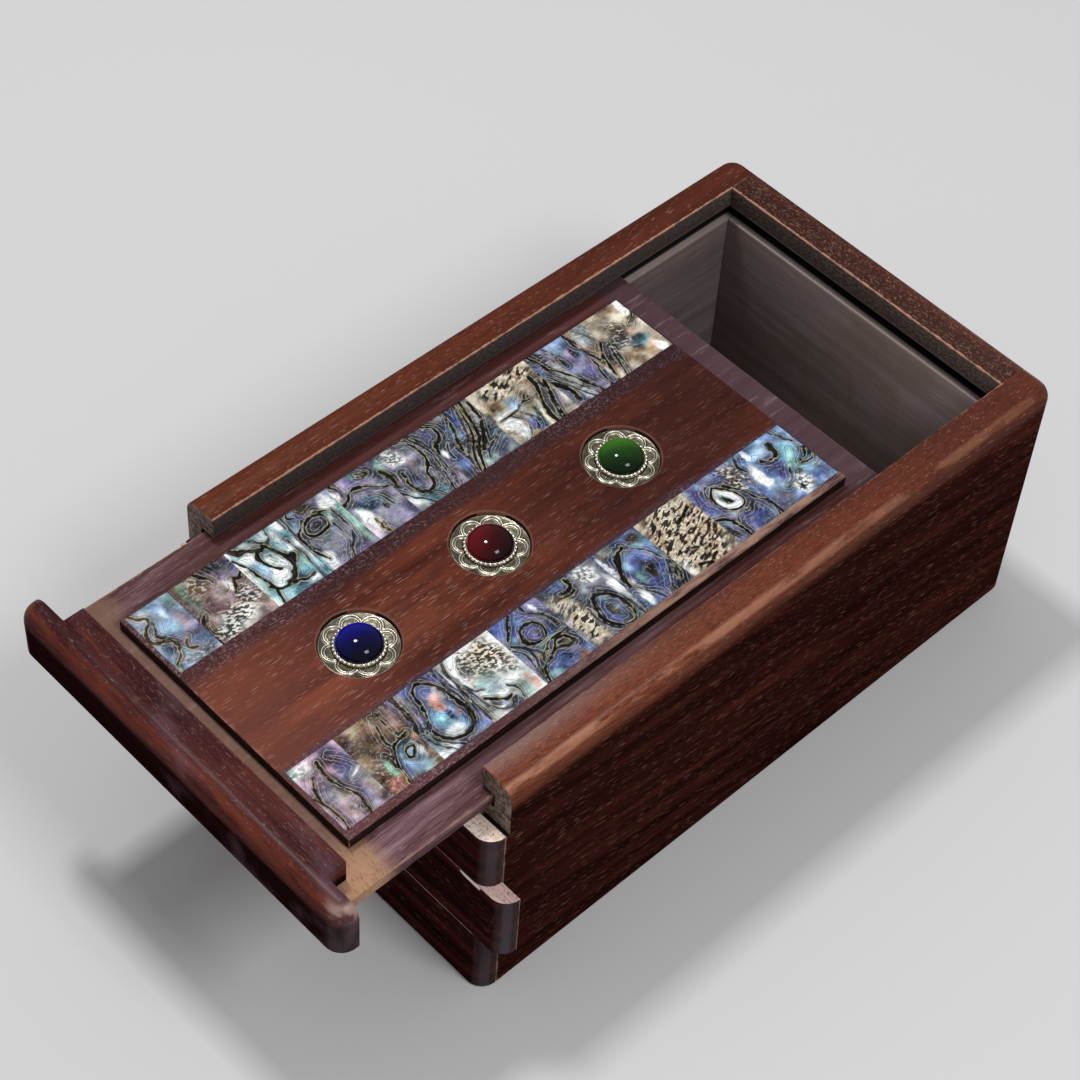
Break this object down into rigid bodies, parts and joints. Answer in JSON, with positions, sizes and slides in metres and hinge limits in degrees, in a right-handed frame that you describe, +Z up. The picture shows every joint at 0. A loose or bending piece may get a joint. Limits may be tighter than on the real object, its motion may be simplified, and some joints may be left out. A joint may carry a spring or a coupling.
{
  "type": "puzzle box",
  "caption": "Long dark wooden puzzle box with a grooved sliding lid, a raised lid panel inlaid with shell tiles and round stone settings, and a sideways lock bar in its front.",
  "frame": {"origin": "centre of the closed box's underside, on the surface that the box stands on", "axes": "+Z up, -Y towards the front end that the lid slides out of, +X to the right seen from the front"},
  "size_m": [0.1053, 0.2085, 0.069],
  "materials": {
    "wall_wood": "satin",
    "front_wood": "satin",
    "inner_wood": "matte",
    "lid_wood": "satin",
    "panel_wood": "satin",
    "peg_wood": "matte",
    "shell": "polished",
    "setting_metal": "satin",
    "blue_stone": "polished",
    "red_stone": "polished",
    "green_stone": "polished"
  },
  "bodies": {
    "box": {"left_wall": "wall_wood", "right_wall": "wall_wood", "back_wall": "wall_wood", "inner_front_wall": "inner_wood", "bottom_board": "inner_wood", "front_upper_strip": "front_wood", "front_lower_strip": "front_wood"},
    "lock": {"lock_bar": "front_wood", "lock_peg": "peg_wood"},
    "lid": {"lid_board": "lid_wood", "lid_front_rail": "front_wood", "raised_panel": "panel_wood", "left_shell_tile_1": "shell", "left_shell_tile_2": "shell", "left_shell_tile_3": "shell", "left_shell_tile_4": "shell", "left_shell_tile_5": "shell", "left_shell_tile_6": "shell", "left_shell_tile_7": "shell", "left_shell_tile_8": "shell", "left_shell_tile_9": "shell", "left_shell_tile_10": "shell", "right_shell_tile_1": "shell", "right_shell_tile_2": "shell", "right_shell_tile_3": "shell", "right_shell_tile_4": "shell", "right_shell_tile_5": "shell", "right_shell_tile_6": "shell", "right_shell_tile_7": "shell", "right_shell_tile_8": "shell", "right_shell_tile_9": "shell", "right_shell_tile_10": "shell", "front_flower_disc": "setting_metal", "front_beaded_bezel": "setting_metal", "front_cabochon": "blue_stone", "middle_flower_disc": "setting_metal", "middle_beaded_bezel": "setting_metal", "middle_cabochon": "red_stone", "back_flower_disc": "setting_metal", "back_beaded_bezel": "setting_metal", "back_cabochon": "green_stone"}
  },
  "joints": [
    {"name": "lid_slide", "type": "slide", "parent": "box", "child": "lid", "axis": [0, -1, 0], "range_m": [-0.0385, 0.11]},
    {"name": "lock_slide", "type": "slide", "parent": "box", "child": "lock", "axis": [1, 0, 0], "range_m": [-0.0053, 0]}
  ]
}
